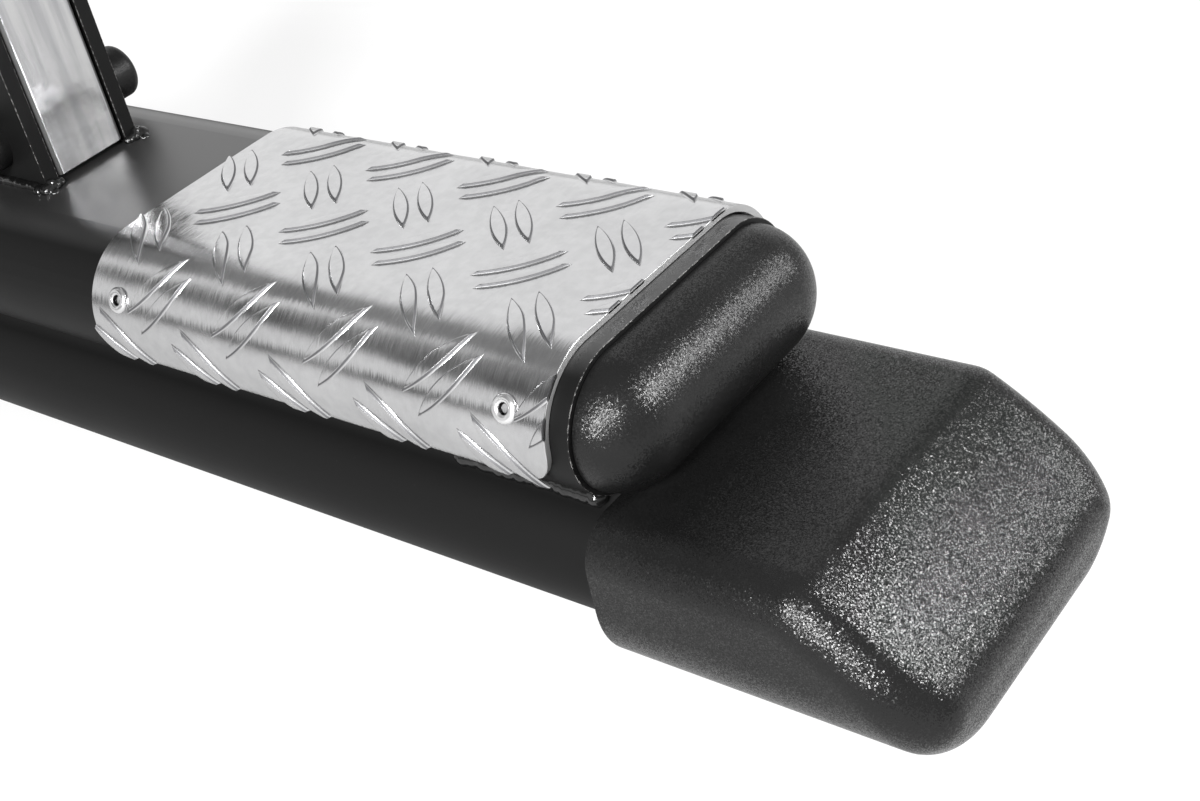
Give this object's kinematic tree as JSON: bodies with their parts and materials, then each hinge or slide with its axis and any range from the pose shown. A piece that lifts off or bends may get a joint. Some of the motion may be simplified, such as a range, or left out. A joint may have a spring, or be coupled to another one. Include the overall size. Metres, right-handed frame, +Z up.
{
  "type": "foot step",
  "caption": "Fixed foot step: a tread-plated flat-oval tube with a domed end cap, welded on a base rail with sloped moulded floor shoes and the foot of an upright.",
  "frame": {"origin": "on the floor, under the middle of the tubes' length and width", "axes": "+X along the tubes towards the tread-plate end, +Y to the back, +Z up"},
  "size_m": [0.6584, 0.1302, 0.227],
  "materials": {
    "powder_coat": "black satin powder coat",
    "weld_paint": "black powder coat over the weld bead, glossier than the flat metal",
    "tread_aluminium": "mill-finish two-bar tread plate with a fine rolled grain",
    "rivet_aluminium": "plain blind rivet",
    "mandrel_steel": "broken mandrel stem, dark",
    "cap_plastic": "black moulded plastic with a fine spark-eroded grain",
    "shoe_plastic": "black moulded plastic with a coarser grain that sparkles in the light",
    "cover_plastic": "black plastic, fine grain",
    "brushed_metal": "stainless steel brushed along its length",
    "zinc_steel": "zinc-plated steel"
  },
  "bodies": {
    "root": {"base_rail": "powder_coat", "bolt_covers_back": "cover_plastic", "bolt_covers_front": "cover_plastic", "post_bar": "brushed_metal", "post_bolts": "zinc_steel", "post_cheek_back": "powder_coat", "post_cheek_front": "powder_coat", "post_nuts": "zinc_steel", "post_plug": "cover_plastic", "post_sleeves": "zinc_steel", "post_washers": "zinc_steel", "post_weld_back": "weld_paint", "post_weld_front": "weld_paint", "shoe_left": "shoe_plastic", "shoe_right": "shoe_plastic", "shoe_screws": "zinc_steel", "step_cap_left": "cap_plastic", "step_cap_right": "cap_plastic", "step_tube": "powder_coat", "tread_plate": "tread_aluminium", "tread_rivet_bodies": "rivet_aluminium", "tread_rivet_mandrels": "mandrel_steel", "tube_welds_back": "weld_paint", "tube_welds_front": "weld_paint"}
  },
  "joints": []
}
